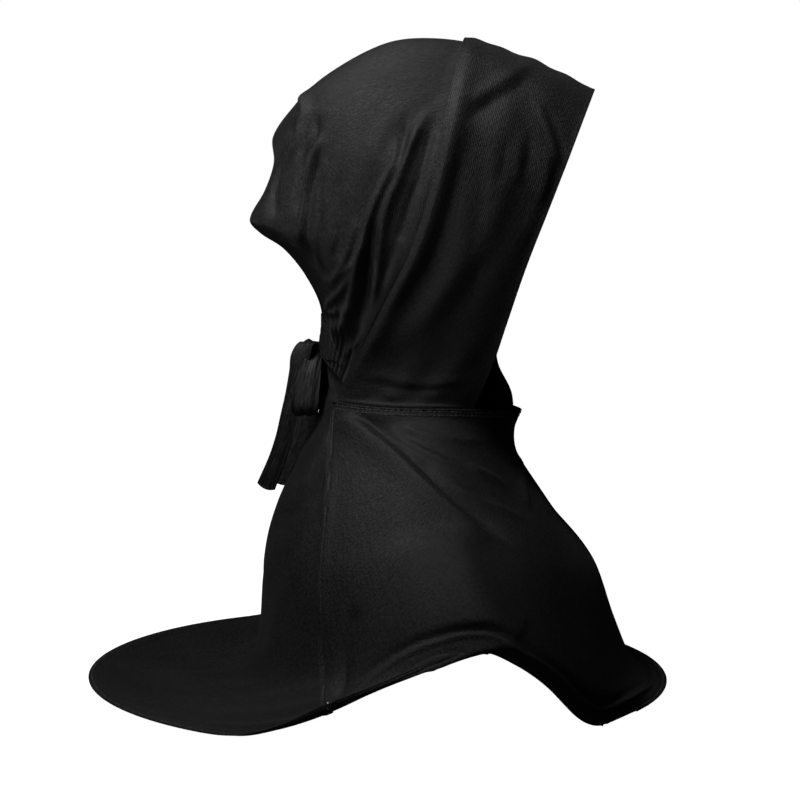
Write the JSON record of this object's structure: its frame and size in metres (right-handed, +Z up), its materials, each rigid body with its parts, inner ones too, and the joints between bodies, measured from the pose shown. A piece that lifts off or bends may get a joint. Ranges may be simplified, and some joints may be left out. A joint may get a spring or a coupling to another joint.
{
  "type": "hijab underscarf cap",
  "caption": "Jersey underscarf hood with a slanted face opening, a rear bag tied in at the nape, and a shoulder cape whose back panel spreads out on the surface.",
  "frame": {"origin": "inside of the crown, where the top of a head seats", "axes": "+X the way the wearer faces, +Y the wearer's left, +Z up"},
  "size_m": [0.408, 0.304, 0.4429],
  "materials": {
    "jersey": "fine black modal jersey with a soft low sheen",
    "tie_jersey": "doubled black jersey tie, slightly smoother than the hood"
  },
  "bodies": {
    "root": {"face_panel": "jersey", "hood_back": "jersey", "cape_front": "jersey", "cape_back": "jersey", "tie_band": "tie_jersey", "tie_knot": "tie_jersey", "tie_loop_right": "tie_jersey", "tie_loop_left": "tie_jersey", "tie_tail_right": "tie_jersey", "tie_tail_left": "tie_jersey"}
  },
  "joints": []
}
